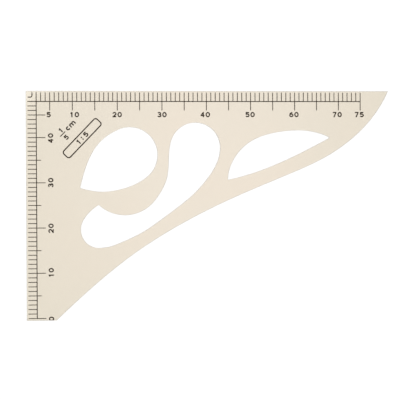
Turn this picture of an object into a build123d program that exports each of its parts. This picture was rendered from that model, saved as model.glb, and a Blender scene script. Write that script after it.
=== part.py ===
"""Pattern drafter's square: a right-angled sheet with two scales, an S-shaped side and three openings."""
from build123d import *
from math import ceil
import os

# Scales, in millimetres. One division is a printed centimetre at one fifth of its size.
division = 2.0
long_divisions = 75
short_divisions = 50
divisions_per_number = 5

# Sheet. The nominal corner of the two scales lies a little inside its real edges.
thickness = 1.5
left_margin = 0.55
top_margin = 0.7
foot_margin = 1.0
foot_width = 13.2
tip_run = 12.9
edge_break = 0.15
opening_corner_radius = 0.4

# Printed lines, a film of ink on the upper face.
ink_thickness = 0.05
border_inset = 4.0
print_margin = 0.7
border_line_width = 0.4
mark_width = 0.35
numbered_mark_run = 4.0
half_mark_run = 2.0

# Sizes and places that follow from the ones above. The origin is at the middle of the resting face.
long_scale = long_divisions * division
short_scale = short_divisions * division
sheet_length = left_margin + long_scale + tip_run
sheet_width = foot_margin + short_scale + top_margin
left, right = -sheet_length / 2, sheet_length / 2
foot, top = -sheet_width / 2, sheet_width / 2
long_zero = left + left_margin
short_zero = foot + foot_margin

# The curves are drawn on a net of squares that covers both scales, one square to a division.
net_columns = 75
net_rows = 50


def on_net(*places):
    """The points of the sheet at these places of the net, each counted from the two zero lines."""
    return [(long_zero + across * long_scale / net_columns, short_zero + up * short_scale / net_rows)
            for across, up in places]


# S-shaped side, between the corner of the foot and the tip: hollow at first, then full.
side_hollow = on_net((13.9, 6.4), (23.9, 14.3), (34.3, 20.7), (43.9, 25.5))
side_full = on_net((58.2, 31.5), (67.2, 35.6), (75.4, 41.7))

# Egg opening: a round head, with its back and its belly meeting in a corner.
egg_corner, = on_net((11.7, 28.8))
egg_head = on_net((20.4, 41.8), (28.1, 39.3), (26.9, 31.5))
egg_back = on_net((12.6, 32.3), (15.1, 37.7))
egg_belly = on_net((21.1, 28.6), (15.8, 28.0))
egg_start, egg_finish = (1, 5), (-4, 1)

# Comma opening: from the cusp round the hook, up the inside to the head, and down the outside to the tail.
comma_hook = on_net((15.8, 25.0), (21.6, 22.7), (28.5, 26.1))
comma_inside = on_net((31.1, 31.0), (31.6, 36.8))
comma_head = on_net((34.2, 42.2), (40.2, 42.6), (43.0, 38.7))
comma_outside = on_net((40.1, 30.7), (36.1, 26.5), (30.7, 22.4), (24.8, 18.5), (19.3, 16.1))
comma_tail = on_net((16.3, 15.5), (11.8, 19.6), (12.4, 21.7))

# Leaf opening: two curves from its heel to its tip.
leaf_heel, leaf_tip = on_net((44.8, 30.5), (68.1, 39.9))
leaf_back = on_net((45.9, 34.6), (50.1, 39.1), (56.0, 41.1), (63.1, 41.4))
leaf_belly = on_net((60.2, 35.9), (52.6, 32.7))

# Sheet, cut right through by the three openings.
with BuildPart() as plate:
    with BuildSketch() as outline:
        with BuildLine():
            Polyline((left + foot_width, foot), (left, foot), (left, top), (right, top))
            Spline((left + foot_width, foot), *side_hollow, *side_full, (right, top))
        make_face()
    extrude(amount=thickness)

    with BuildSketch() as egg_opening:
        with BuildLine():
            head = ThreePointArc(*egg_head)
            Spline(egg_corner, *egg_back, head @ 0, tangents=(egg_start, head % 0))
            Spline(head @ 1, *egg_belly, egg_corner, tangents=(head % 1, egg_finish))
        make_face()
        fillet(egg_opening.vertices().sort_by(Axis.X)[0], opening_corner_radius)
    with BuildSketch() as comma_opening:
        with BuildLine():
            hook = ThreePointArc(*comma_hook)
            head = ThreePointArc(*comma_head)
            tail = ThreePointArc(*comma_tail)
            Spline(hook @ 1, *comma_inside, head @ 0, tangents=(hook % 1, head % 0))
            Spline(head @ 1, *comma_outside, tail @ 0, tangents=(head % 1, tail % 0))
            TangentArc(tail @ 1, hook @ 0, tangent=tail % 1)
        make_face()
        fillet(comma_opening.vertices().sort_by_distance(comma_hook[0])[0], opening_corner_radius)
    with BuildSketch() as leaf_opening:
        with BuildLine():
            Spline(leaf_heel, *leaf_back, leaf_tip)
            Spline(leaf_tip, *leaf_belly, leaf_heel)
        make_face()
        fillet(leaf_opening.vertices(), opening_corner_radius)
    extrude(amount=thickness, mode=Mode.SUBTRACT)
    chamfer(plate.faces().filter_by(Axis.Z).edges(), edge_break)
plate.part.label = "plate"

# Places of the printed lines. Each border line is the depth of the mark band from the scale's own edge.
border_x = long_zero + border_inset
border_y = short_zero + short_scale - border_inset
print_left = left + print_margin
print_top = top - print_margin
long_border_length = long_zero + long_scale - print_left + mark_width / 2
short_border_length = print_top - short_zero + mark_width / 2
first_long_mark = ceil(border_inset / division)
last_short_mark = int((short_scale - border_inset) / division)
last_half_number = last_short_mark - last_short_mark % divisions_per_number


def is_number(mark):
    """Every fifth mark is longer than its neighbours."""
    return mark % divisions_per_number == 0


def is_half(mark):
    """On the short scale the marks midway between the tens are shorter, apart from the last of them."""
    return mark % (2 * divisions_per_number) == divisions_per_number and mark != last_half_number


def long_scale_marks(marks, run):
    """Marks of the long scale, from the print's top edge to this far inside the border line."""
    with Locations([(long_zero + mark * division, print_top) for mark in marks]):
        Rectangle(mark_width, print_top - border_y + run, align=(Align.CENTER, Align.MAX))


def short_scale_marks(marks, run):
    """Marks of the short scale, from the print's left edge to this far inside the border line."""
    with Locations([(print_left, short_zero + mark * division) for mark in marks]):
        Rectangle(border_x - print_left + run, mark_width, align=(Align.MIN, Align.CENTER))


# Printed graduation: two border lines that cross near the corner, with the marks of both scales.
with BuildPart() as scale_lines:
    with BuildSketch(Plane.XY.offset(thickness)) as print_lines:
        with Locations((print_left, border_y)):
            Rectangle(long_border_length, border_line_width, align=(Align.MIN, Align.CENTER))
        with Locations((border_x, print_top)):
            Rectangle(border_line_width, short_border_length, align=(Align.CENTER, Align.MAX))
        long_marks = range(first_long_mark, long_divisions + 1)
        short_marks = range(0, last_short_mark + 1)
        long_scale_marks([m for m in long_marks if not is_number(m)], 0)
        long_scale_marks([m for m in long_marks if is_number(m)], numbered_mark_run)
        short_scale_marks([m for m in short_marks if not is_number(m)], 0)
        short_scale_marks([m for m in short_marks if is_half(m)], half_mark_run)
        short_scale_marks([m for m in short_marks if is_number(m) and not is_half(m)], numbered_mark_run)
    extrude(amount=ink_thickness)
scale_lines.part.label = "scale_lines"

os.makedirs("parts", exist_ok=True)
for piece in (plate.part, scale_lines.part):
    export_step(piece, f"parts/{piece.label}.step")
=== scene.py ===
"""Dresses a clear plastic drafting square: its plastic, ink and printed figures, and the studio round it."""
from math import cos, radians, sin

import bpy
from mathutils import Matrix, Vector


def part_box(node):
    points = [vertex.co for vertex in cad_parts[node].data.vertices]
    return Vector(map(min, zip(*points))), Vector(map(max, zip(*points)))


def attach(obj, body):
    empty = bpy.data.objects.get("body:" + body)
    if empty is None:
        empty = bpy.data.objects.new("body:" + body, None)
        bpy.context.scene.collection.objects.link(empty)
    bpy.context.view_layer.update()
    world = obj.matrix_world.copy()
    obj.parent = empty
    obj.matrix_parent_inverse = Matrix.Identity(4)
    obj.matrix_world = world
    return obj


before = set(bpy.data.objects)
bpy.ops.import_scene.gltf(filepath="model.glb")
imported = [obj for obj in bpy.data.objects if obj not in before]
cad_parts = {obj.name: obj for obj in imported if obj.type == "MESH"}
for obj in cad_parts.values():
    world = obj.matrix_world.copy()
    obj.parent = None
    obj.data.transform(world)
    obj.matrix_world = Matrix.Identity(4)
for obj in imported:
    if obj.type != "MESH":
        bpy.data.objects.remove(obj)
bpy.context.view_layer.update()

MM = 0.001

# The two scales: their sizes are the part's own, and their places are read from the frame. One division is
# a printed centimetre at one fifth of its size. The long scale starts at the corner, and the short scale
# ends there.
DIVISION = 2 * MM
LONG_DIVISIONS = 75
SHORT_DIVISIONS = 50
MARK_WIDTH = 0.35 * MM
EDGE_BREAK = 0.15 * MM
plate_low, plate_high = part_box("plate")
lines_low, lines_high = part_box("scale_lines")
PRINTED_FACE = plate_high.z
INK_THICKNESS = lines_high.z - plate_high.z
LONG_ZERO = lines_high.x - MARK_WIDTH / 2 - LONG_DIVISIONS * DIVISION
SHORT_ZERO = lines_low.y + MARK_WIDTH / 2
CORNER = SHORT_ZERO + SHORT_DIVISIONS * DIVISION

# Figures and signs are drawn in millimetres round their own middle, and made metres as they are placed.
FIGURE_PEN = 0.54
UNIT_PEN = 0.58
BAR_PEN = 0.42
CORNER_PEN = 0.46

# Curves are made of short straight runs: this many in a part of a curve, and in one that goes all round.
CURVE_STEPS = 24
ROUND_STEPS = 48

# In degrees, as every angle given to arc is.
QUARTER_TURN = 90

# Points of a stroke nearer than this are one point.
SAME_POINT = 0.001

# Half sizes run from the middle of a figure to the middle of the pen's stroke.
HALF_WIDE = 0.72
HALF_TALL = 0.91
CAP = FIGURE_PEN / 2
FIGURE_PITCH = 2.32
LETTER_HALF_WIDE = 0.68
LETTER_HALF_TALL = 0.64
LETTER_M_PITCH = 1.22
LETTER_M_LEG = 0.82


def deselect():
    """Leaves nothing selected, so that the next operator acts on the new piece alone."""
    bpy.ops.object.select_all(action="DESELECT")


def select_only(*objects):
    """Selects these objects and makes the first one active."""
    deselect()
    for piece in objects:
        piece.select_set(True)
    bpy.context.view_layer.objects.active = objects[0]


def arc(middle, radii, start, end, steps=CURVE_STEPS):
    """Points along part of an ellipse, from one angle to another in degrees."""
    angles = [radians(start + (end - start) * i / steps) for i in range(steps + 1)]
    return [(middle[0] + radii[0] * cos(a), middle[1] + radii[1] * sin(a)) for a in angles]


# Strokes of each figure. A bar that ends on the outline runs past the pen's middle by half a pen. A stroke
# that branches from another starts inside it at a slant, so that no two of their walls lie together.
FIGURES = {
    "0": [arc((0, 0), (HALF_WIDE, HALF_TALL), 90, 450, ROUND_STEPS)],
    "1": [[(0.12, -HALF_TALL - CAP), (0.12, HALF_TALL + CAP)], [(0.1, 0.86), (-0.5, 0.46)]],
    "2": [arc((0, 0.34), (0.66, 0.57), 170, -32) + [(-0.58, -0.9)],
          [(-0.86, -HALF_TALL), (0.8, -HALF_TALL)]],
    "3": [arc((-0.02, 0.47), (0.6, 0.44), 158, -90) + [(-0.28, 0.03)],
          arc((-0.02, -0.44), (0.7, 0.47), 75, -158)],
    "4": [[(0.3, -HALF_TALL - CAP), (0.3, HALF_TALL + CAP)], [(-0.92, -0.42), (0.82, -0.42)],
          [(0.24, 0.94), (-0.72, -0.38)]],
    "5": [[(0.76, HALF_TALL), (-0.5, HALF_TALL), (-0.6, 0.02)],
          arc((-0.02, -0.33), (0.7, 0.58), 150, -155)],
    "6": [arc((0, -0.34), (0.7, 0.57), 180, 540, ROUND_STEPS),
          arc((0.58, -0.34), (1.28, 1.25), 172, 95)],
    "7": [[(-0.8, HALF_TALL), (0.84, HALF_TALL)], [(0.58, 0.88), (-0.3, -HALF_TALL - CAP)]],
}

# Strokes of the ratio's colon and the unit's letters, for a wider pen. An m is a stem and two arches.
M_ARCHES = [
    arc((middle, 0.14), (LETTER_M_PITCH / 2, 0.5), 150, 0) + [(middle + LETTER_M_PITCH / 2, -LETTER_M_LEG)]
    for middle in (-LETTER_M_PITCH / 2, LETTER_M_PITCH / 2)
]
LETTERS = {
    ":": [[(0, -0.84), (0, -0.26)], [(0, 0.2), (0, 0.78)]],
    "c": [arc((0, 0), (LETTER_HALF_WIDE, LETTER_HALF_TALL), 48, 312)],
    "m": [[(-LETTER_M_PITCH, -LETTER_M_LEG), (-LETTER_M_PITCH, LETTER_M_LEG)], *M_ARCHES],
}


def pen_stroke(points, pen):
    """One stroke of ink as a flat bar: a point drawn along the line, raised, and made as wide as the pen."""
    deselect()
    bpy.ops.mesh.primitive_plane_add(size=1, location=(0, 0, 0))
    stroke = bpy.context.object
    bpy.ops.object.mode_set(mode="EDIT")
    bpy.ops.mesh.select_all(action="SELECT")
    bpy.ops.mesh.merge(type="CENTER")
    bpy.ops.transform.translate(value=(*points[0], 0))
    for here, there in zip(points, points[1:]):
        step = (there[0] - here[0], there[1] - here[1], 0)
        bpy.ops.mesh.extrude_region_move(TRANSFORM_OT_translate={"value": step})
    bpy.ops.mesh.select_all(action="SELECT")
    bpy.ops.mesh.remove_doubles(threshold=SAME_POINT)
    rise = (0, 0, INK_THICKNESS / MM)
    bpy.ops.mesh.extrude_region_move(TRANSFORM_OT_translate={"value": rise})
    bpy.ops.object.mode_set(mode="OBJECT")
    width = stroke.modifiers.new("pen width", "SOLIDIFY")
    width.thickness = pen
    width.offset = 0
    width.use_even_offset = True
    bpy.ops.object.modifier_apply(modifier=width.name)
    return stroke


def drawn(name, strokes, pen):
    """A figure or sign of these strokes, joined into one closed shape."""
    bars = [pen_stroke(points, pen) for points in strokes]
    select_only(*bars)
    if len(bars) > 1:
        bpy.ops.object.join()
    shape = bpy.context.object
    bpy.ops.object.mode_set(mode="EDIT")
    bpy.ops.mesh.select_all(action="SELECT")
    bpy.ops.mesh.normals_make_consistent(inside=False)
    if len(bars) > 1:
        bpy.ops.mesh.intersect_boolean(operation="UNION", use_self=True, solver="EXACT")
    bpy.ops.object.mode_set(mode="OBJECT")
    shape.name = name
    return shape


def place(shape, x, y, turn=0.0, size=1.0):
    """A copy of a drawn shape on the printed face, its middle at x, y in metres, placed by its mesh."""
    select_only(shape)
    bpy.ops.object.duplicate()
    copy = bpy.context.object
    copy.scale = (MM * size, MM * size, MM)
    copy.rotation_euler = (0, 0, turn)
    copy.location = (x, y, PRINTED_FACE)
    bpy.ops.object.transform_apply(location=True, rotation=True, scale=True)
    return copy


def write(shapes, text, x, y, turn=0.0):
    """The text in a line of evenly spaced figures, its middle at x, y in metres."""
    along = Vector((cos(turn), sin(turn)))
    middle = (len(text) - 1) / 2
    copies = []
    for i, sign in enumerate(text):
        reach = (i - middle) * FIGURE_PITCH * MM
        copies.append(place(shapes[sign], x + along.x * reach, y + along.y * reach, turn))
    return copies


def one_piece(name, parts):
    """The placed parts as one printed piece that moves with the square."""
    select_only(*parts)
    if len(parts) > 1:
        bpy.ops.object.join()
    piece = bpy.context.object
    piece.name = name
    piece.data.name = name
    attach(piece, "root")
    return piece


# Numbers, in millimetres. The long scale's stand in a row this far below the corner, the short scale's in a
# column this far from the zero line. With each number is how far it is printed to the side of its mark.
LONG_ROW = 9.85
LONG_NUMBERS = {5: -0.5, 10: 0.85, 20: -0.1, 30: -0.05, 40: -0.55, 50: -0.3, 60: -0.35, 70: -0.6, 75: -0.45}
SHORT_COLUMN = 10.3
SHORT_NUMBERS = {40: -0.25, 30: 0.0, 20: -0.2, 10: 0.15, 0: -0.2}
UPWARDS = radians(90)
CUT_SNAP = 0.0001 * MM


def long_scale_numbers(shapes):
    """Numbers along the long scale, upright."""
    y = CORNER - LONG_ROW * MM
    parts = []
    for number, aside in LONG_NUMBERS.items():
        parts += write(shapes, str(number), LONG_ZERO + number * DIVISION + aside * MM, y)
    return one_piece("long_scale_numbers", parts)


def short_scale_numbers(shapes):
    """Numbers along the short scale, read from its foot upwards. The zero is cut where the face ends."""
    x = LONG_ZERO + SHORT_COLUMN * MM
    parts = []
    for number, aside in SHORT_NUMBERS.items():
        parts += write(shapes, str(number), x, SHORT_ZERO + number * DIVISION + aside * MM, UPWARDS)
    piece = one_piece("short_scale_numbers", parts)
    select_only(piece)
    bpy.ops.object.mode_set(mode="EDIT")
    bpy.ops.mesh.select_all(action="SELECT")
    face_end = (0, plate_low.y + EDGE_BREAK, 0)
    bpy.ops.mesh.bisect(
        plane_co=face_end, plane_no=(0, 1, 0), use_fill=True, clear_inner=True, threshold=CUT_SNAP)
    bpy.ops.object.mode_set(mode="OBJECT")
    return piece


# Unit mark, in millimetres: its middle from the two zero lines, and its signs' places along and across it.
UNIT_X, UNIT_Y = 15.67, 81.54
UNIT_SLANT = radians(45)
FRACTION_BAR = 3.15
FRACTION_FIGURES = {"1": (0.55, 1.75), "5": (0.12, -2.14)}
FRACTION_SIZE = 0.95
UNIT_LETTERS = {"c": (3.56, 0.11), "m": (6.2, 0.08)}


def on_unit_slant(along, across):
    """The point in metres that is this far along and across the slant of the unit mark."""
    return (LONG_ZERO + (UNIT_X + along * cos(UNIT_SLANT) - across * sin(UNIT_SLANT)) * MM,
            SHORT_ZERO + (UNIT_Y + along * sin(UNIT_SLANT) + across * cos(UNIT_SLANT)) * MM)


def unit_mark(shapes):
    """One over five, and cm, on the slant near the corner."""
    bar = drawn("fraction_bar", [[(-FRACTION_BAR / 2, 0), (FRACTION_BAR / 2, 0)]], BAR_PEN)
    parts = [place(bar, *on_unit_slant(0, 0), UNIT_SLANT)]
    for figure, spot in FRACTION_FIGURES.items():
        parts.append(place(shapes[figure], *on_unit_slant(*spot), UNIT_SLANT, FRACTION_SIZE))
    for letter, spot in UNIT_LETTERS.items():
        parts.append(place(shapes[letter], *on_unit_slant(*spot), UNIT_SLANT))
    bpy.data.objects.remove(bar)
    return one_piece("unit_mark", parts)


# Ratio label, in millimetres: its middle from the two zero lines, and the half sizes of its frame, with the
# rounding of the frame's corners and the straight runs in each.
RATIO_X, RATIO_Y = 24.32, 79.72
RATIO_SLANT = radians(46)
FRAME_HALF_LENGTH = 10.7
FRAME_HALF_HEIGHT = 2.0
FRAME_CORNER = 1.1
FRAME_CORNER_STEPS = 8


def ratio_label(shapes):
    """The scale's ratio in a plain frame with rounded corners."""
    wide = FRAME_HALF_LENGTH - FRAME_CORNER
    tall = FRAME_HALF_HEIGHT - FRAME_CORNER
    outline = []
    for corner, middle in enumerate([(wide, tall), (-wide, tall), (-wide, -tall), (wide, -tall)]):
        start = corner * QUARTER_TURN
        outline += arc(middle, (FRAME_CORNER, FRAME_CORNER), start, start + QUARTER_TURN, FRAME_CORNER_STEPS)
    border = drawn("ratio_frame", [outline + outline[:1]], FIGURE_PEN)
    x, y = LONG_ZERO + RATIO_X * MM, SHORT_ZERO + RATIO_Y * MM
    parts = [place(border, x, y, RATIO_SLANT)]
    parts += write(shapes, "1:5", x, y, RATIO_SLANT)
    bpy.data.objects.remove(border)
    return one_piece("ratio_label", parts)


# Zero in the corner, in millimetres from the two zero lines: its right side, its foot, the foot's left end,
# the rounding between side and foot with its straight runs, and how far its top stays inside the edge.
ZERO_RIGHT = 2.17
ZERO_FOOT = 97.91
ZERO_LEFT_END = 0.3
ZERO_ROUNDING = 0.78
ZERO_ROUNDING_STEPS = 10
ZERO_TOP_INSET = 0.7


def corner_zero():
    """The part of a large thin zero that the corner of the sheet leaves."""
    top = (plate_high.y - SHORT_ZERO) / MM - ZERO_TOP_INSET
    bend = arc((ZERO_RIGHT - ZERO_ROUNDING, ZERO_FOOT + ZERO_ROUNDING), (ZERO_ROUNDING, ZERO_ROUNDING),
               0, -QUARTER_TURN, ZERO_ROUNDING_STEPS)
    shape = drawn("zero_part", [[(ZERO_RIGHT, top), *bend, (ZERO_LEFT_END, ZERO_FOOT)]], CORNER_PEN)
    part = place(shape, LONG_ZERO, SHORT_ZERO)
    bpy.data.objects.remove(shape)
    return one_piece("corner_zero", [part])


# The colour sockets of a Mix node, which share their names with its sockets for numbers.
MIX_COLOUR_LOW = 6
MIX_COLOUR_HIGH = 7
MIX_COLOUR_RESULT = 2


def new_material(name):
    """A new material, with its node tree and its shader."""
    material = bpy.data.materials.new(name)
    material.use_nodes = True
    return material, material.node_tree, material.node_tree.nodes["Principled BSDF"]


def feed(tree, socket, value):
    """Sets a socket to a plain value, or joins it to another node's socket."""
    if isinstance(value, bpy.types.NodeSocket):
        tree.links.new(value, socket)
    else:
        socket.default_value = value


def colour_mix(tree, share, low, high):
    """A mix of two colours by a share."""
    mix = tree.nodes.new("ShaderNodeMix")
    mix.data_type = "RGBA"
    feed(tree, mix.inputs["Factor"], share)
    feed(tree, mix.inputs[MIX_COLOUR_LOW], low)
    feed(tree, mix.inputs[MIX_COLOUR_HIGH], high)
    return mix.outputs[MIX_COLOUR_RESULT]


def ranged(tree, value, span, target=(0, 1)):
    """A value carried from one range to another."""
    carried = tree.nodes.new("ShaderNodeMapRange")
    feed(tree, carried.inputs["Value"], value)
    for name, number in zip(("From Min", "From Max", "To Min", "To Max"), (*span, *target)):
        carried.inputs[name].default_value = number
    return carried.outputs["Result"]


def calculated(tree, operation, *values):
    """The result of one step of arithmetic on these values."""
    maths = tree.nodes.new("ShaderNodeMath")
    maths.operation = operation
    for socket, value in zip(maths.inputs, values):
        feed(tree, socket, value)
    return maths.outputs["Value"]


def bumped(tree, height, strength, depth, sunk=False):
    """A normal raised by this height, or sunk by it."""
    bump = tree.nodes.new("ShaderNodeBump")
    bump.invert = sunk
    bump.inputs["Strength"].default_value = strength
    bump.inputs["Distance"].default_value = depth
    feed(tree, bump.inputs["Height"], height)
    return bump.outputs["Normal"]


# Scratches are the crests of a noise drawn out along one slant. Rubbed patches are a soft, even noise.
SCRATCH_SLANT = radians(28)
SCRATCH_STRETCH = 14
SCRATCH_CRESTS = (0.62, 0.74)
SCRATCH_DETAIL = 3
PATCH_DETAIL = 2


def handling_marks():
    """Node group of fine scratches and soft rubbed patches, which any surface of the square can carry."""
    group = bpy.data.node_groups.new("handling marks", "ShaderNodeTree")
    for name, way in (("Scratch Scale", "INPUT"), ("Patch Scale", "INPUT"), ("Scratches", "OUTPUT"),
                      ("Patches", "OUTPUT")):
        group.interface.new_socket(name, in_out=way, socket_type="NodeSocketFloat")
    given = group.nodes.new("NodeGroupInput")
    made = group.nodes.new("NodeGroupOutput")
    coordinates = group.nodes.new("ShaderNodeTexCoord")
    stretch = group.nodes.new("ShaderNodeMapping")
    stretch.inputs["Rotation"].default_value = (0, 0, SCRATCH_SLANT)
    stretch.inputs["Scale"].default_value = (1, SCRATCH_STRETCH, 1)
    scratch = group.nodes.new("ShaderNodeTexNoise")
    scratch.inputs["Detail"].default_value = SCRATCH_DETAIL
    patch = group.nodes.new("ShaderNodeTexNoise")
    patch.inputs["Detail"].default_value = PATCH_DETAIL
    feed(group, stretch.inputs["Vector"], coordinates.outputs["Object"])
    feed(group, scratch.inputs["Vector"], stretch.outputs["Vector"])
    feed(group, scratch.inputs["Scale"], given.outputs["Scratch Scale"])
    feed(group, patch.inputs["Vector"], coordinates.outputs["Object"])
    feed(group, patch.inputs["Scale"], given.outputs["Patch Scale"])
    feed(group, made.inputs["Scratches"], ranged(group, scratch.outputs["Fac"], SCRATCH_CRESTS))
    feed(group, made.inputs["Patches"], patch.outputs["Fac"])
    return group


def marked(tree, marks, scratch_scale, patch_scale):
    """The handling marks in a material, as its scratches and its patches."""
    wear = tree.nodes.new("ShaderNodeGroup")
    wear.node_tree = marks
    wear.inputs["Scratch Scale"].default_value = scratch_scale
    wear.inputs["Patch Scale"].default_value = patch_scale
    return wear.outputs["Scratches"], wear.outputs["Patches"]


def light_paper(tree, shader, tint):
    """Lets the light of the lamp and of the sky straight through, so that it reaches the paper below."""
    path = tree.nodes.new("ShaderNodeLightPath")
    clear = tree.nodes.new("ShaderNodeBsdfTransparent")
    clear.inputs["Color"].default_value = tint
    surface = shader.outputs["BSDF"]
    for kind in ("Is Shadow Ray", "Is Diffuse Ray"):
        either = tree.nodes.new("ShaderNodeMixShader")
        share, otherwise, for_this_kind = either.inputs
        feed(tree, share, path.outputs[kind])
        feed(tree, otherwise, surface)
        feed(tree, for_this_kind, clear.outputs["BSDF"])
        surface = either.outputs["Shader"]
    feed(tree, tree.nodes["Material Output"].inputs["Surface"], surface)


# Plastic: tinted in patches, with a painted pool of light round a point near its middle and painted shade
# deepening away from it, and greyer and duller on the cut edges, where the grey is partly painted shade.
# FLAT_TO_CUT is how upright the normal stands on a flat face, and on a cut edge with its broken corners.
PLASTIC_WARM = (0.855, 0.768, 0.660, 1)
PLASTIC_COOL = (0.840, 0.774, 0.672, 1)
PLASTIC_PAINTED_SHADE = (0.785, 0.725, 0.615, 1)
PLASTIC_PATCHES = (0.35, 0.65)
PLASTIC_SCRATCH_SCALE = 120
PLASTIC_PATCH_SCALE = 22
PLASTIC_IOR = 1.49
PLASTIC_ROUGHNESS = (0.04, 0.16)
SCRATCH_BUMP = 0.05
SCRATCH_DEPTH = 0.02 * MM
# Painted pool of light: the point it is centred on, and the distances over which painted shade deepens from
# it.
PAINTED_LIGHT_MIDDLE = (0, 10 * MM, PRINTED_FACE)
PAINTED_SHADE_SPAN = (25 * MM, 92 * MM)
# Colour of the cut edges: a real dull grey, made darker as painted shade along the edges.
CUT_EDGE_GREY_AND_SHADE = (0.63, 0.62, 0.605, 1)
CUT_EDGE_DULLNESS = 0.55
FLAT_TO_CUT = (0.95, 0.75)
LIGHT_LET_THROUGH = (0.965, 0.96, 0.95, 1)


def clear_plastic(marks):
    """Clear, faintly beige sheet plastic: glossy faces, and cut edges that are slightly dull."""
    material, tree, shader = new_material("clear plastic")
    shader.inputs["Transmission Weight"].default_value = 1.0
    shader.inputs["IOR"].default_value = PLASTIC_IOR
    scratches, patches = marked(tree, marks, PLASTIC_SCRATCH_SCALE, PLASTIC_PATCH_SCALE)
    tint = colour_mix(tree, ranged(tree, patches, PLASTIC_PATCHES), PLASTIC_WARM, PLASTIC_COOL)
    coordinates = tree.nodes.new("ShaderNodeTexCoord")
    reach = tree.nodes.new("ShaderNodeVectorMath")
    reach.operation = "DISTANCE"
    for socket, point in zip(reach.inputs, (coordinates.outputs["Object"], PAINTED_LIGHT_MIDDLE)):
        feed(tree, socket, point)
    # Painted pool of light and shade: the plastic is left pale round a point near its middle and darkened
    # farther out.
    tint = colour_mix(tree, ranged(tree, reach.outputs["Value"], PAINTED_SHADE_SPAN), tint, PLASTIC_PAINTED_SHADE)
    geometry = tree.nodes.new("ShaderNodeNewGeometry")
    facing = tree.nodes.new("ShaderNodeSeparateXYZ")
    feed(tree, facing.inputs["Vector"], geometry.outputs["Normal"])
    cut = ranged(tree, calculated(tree, "ABSOLUTE", facing.outputs["Z"]), FLAT_TO_CUT)
    # On the cut edges the colour turns a real grey that is darkened further as painted shade.
    feed(tree, shader.inputs["Base Color"], colour_mix(tree, cut, tint, CUT_EDGE_GREY_AND_SHADE))
    gloss = ranged(tree, scratches, (0, 1), PLASTIC_ROUGHNESS)
    feed(tree, shader.inputs["Roughness"], calculated(tree, "MULTIPLY_ADD", cut, CUT_EDGE_DULLNESS, gloss))
    feed(tree, shader.inputs["Normal"], bumped(tree, scratches, SCRATCH_BUMP, SCRATCH_DEPTH, sunk=True))
    light_paper(tree, shader, LIGHT_LET_THROUGH)
    return material


# Ink: thinner and browner in patches, and a little duller where it is scratched.
INK_DENSE = (0.014, 0.008, 0.003, 1)
INK_THIN = (0.034, 0.020, 0.009, 1)
INK_PATCHES = (0.35, 0.7)
INK_SCRATCH_SCALE = 260
INK_PATCH_SCALE = 900
INK_SHINE = 0.15
INK_ROUGHNESS = (0.42, 0.6)
INK_BUMP = 0.3
INK_BUMP_DEPTH = 0.01 * MM


def print_ink(marks):
    """Dark brown-black printing ink, a little uneven and rubbed."""
    material, tree, shader = new_material("print ink")
    shader.inputs["Specular IOR Level"].default_value = INK_SHINE
    scratches, patches = marked(tree, marks, INK_SCRATCH_SCALE, INK_PATCH_SCALE)
    uneven = ranged(tree, patches, INK_PATCHES)
    feed(tree, shader.inputs["Base Color"], colour_mix(tree, uneven, INK_DENSE, INK_THIN))
    feed(tree, shader.inputs["Roughness"], ranged(tree, scratches, (0, 1), INK_ROUGHNESS))
    feed(tree, shader.inputs["Normal"], bumped(tree, patches, INK_BUMP, INK_BUMP_DEPTH))
    return material


def dress():
    """Prints the figures and gives every piece its finish."""
    shapes = {sign: drawn("figure_" + sign, strokes, FIGURE_PEN) for sign, strokes in FIGURES.items()}
    shapes |= {sign: drawn("letter_" + sign, strokes, UNIT_PEN) for sign, strokes in LETTERS.items()}
    prints = [long_scale_numbers(shapes), short_scale_numbers(shapes), unit_mark(shapes),
              ratio_label(shapes), corner_zero()]
    for shape in shapes.values():
        bpy.data.objects.remove(shape)
    marks = handling_marks()
    ink = print_ink(marks)
    for piece in prints:
        piece.data.materials.append(ink)
    scale_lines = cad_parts["scale_lines"]
    scale_lines.material_slots[0].material = ink
    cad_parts["plate"].material_slots[0].material = clear_plastic(marks)
    # The ink leaves no shadow on the paper under the clear sheet.
    for piece in (*prints, scale_lines):
        piece.visible_shadow = False
        piece.visible_diffuse = False


# Studio, in metres. The floor lies just under the sheet, so that the two faces don't meet.
FLOOR_SIZE = 6
FLOOR_DROP = 0.2 * MM
PAPER_COLOUR = (0.88, 0.88, 0.88, 1)
PAPER_ROUGHNESS = 0.9
PAPER_SHINE = 0.1
SKY_COLOUR = (1, 1, 1, 1)
SKY_STRENGTH = 1.0
LAMP_PLACE = Vector((-0.5, 0.5, 1.6))
LAMP_SIZE = 1.4
LAMP_WATTS = 9


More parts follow.
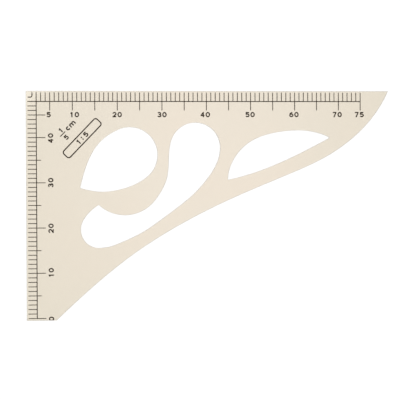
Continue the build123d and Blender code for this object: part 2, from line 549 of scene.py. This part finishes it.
def studio():
    """A plain white floor, a soft overhead lamp and an even pale sky, with colours shown as they are."""
    deselect()
    bpy.ops.mesh.primitive_plane_add(size=FLOOR_SIZE, location=(0, 0, -FLOOR_DROP))
    floor = bpy.context.object
    floor.name = "floor"
    bpy.ops.object.transform_apply(location=True, rotation=True, scale=True)
    paper, tree, shader = new_material("white paper")
    shader.inputs["Base Color"].default_value = PAPER_COLOUR
    shader.inputs["Roughness"].default_value = PAPER_ROUGHNESS
    shader.inputs["Specular IOR Level"].default_value = PAPER_SHINE
    floor.data.materials.append(paper)
    world = bpy.data.worlds.new("pale sky")
    world.use_nodes = True
    sky = world.node_tree.nodes["Background"]
    sky.inputs["Color"].default_value = SKY_COLOUR
    sky.inputs["Strength"].default_value = SKY_STRENGTH
    bpy.context.scene.world = world
    bpy.ops.object.light_add(type="AREA", location=LAMP_PLACE)
    lamp = bpy.context.object
    lamp.name = "overhead_lamp"
    lamp.data.shape = "SQUARE"
    lamp.data.size = LAMP_SIZE
    lamp.data.energy = LAMP_WATTS
    lamp.rotation_euler = (-LAMP_PLACE).to_track_quat("-Z", "Y").to_euler()
    bpy.context.scene.view_settings.view_transform = "Standard"


# Camera: its place and the point it looks at, in metres, its roll, and its lens and sensor, in millimetres.
CAMERA_PLACE = Vector((-0.13787, 0.00363, 0.98484))
CAMERA_AIM = Vector((-0.00429, 0.00217, 0.0015))
CAMERA_ROLL = radians(-0.304)
CAMERA_LENS = 200
CAMERA_SENSOR = 36


def camera():
    """Looks down on the printed face from a little to the left, with the long scale level in the picture."""
    bpy.ops.object.camera_add(location=CAMERA_PLACE)
    eye = bpy.context.object
    back = (CAMERA_PLACE - CAMERA_AIM).normalized()
    up_picture = Vector((0, 1, 0))
    right = up_picture.cross(back).normalized()
    level = Matrix((right, back.cross(right), back)).transposed()
    eye.rotation_euler = (level @ Matrix.Rotation(CAMERA_ROLL, 3, "Z")).to_euler()
    eye.data.lens = CAMERA_LENS
    eye.data.sensor_width = CAMERA_SENSOR
    bpy.context.scene.camera = eye


dress()
studio()
camera()
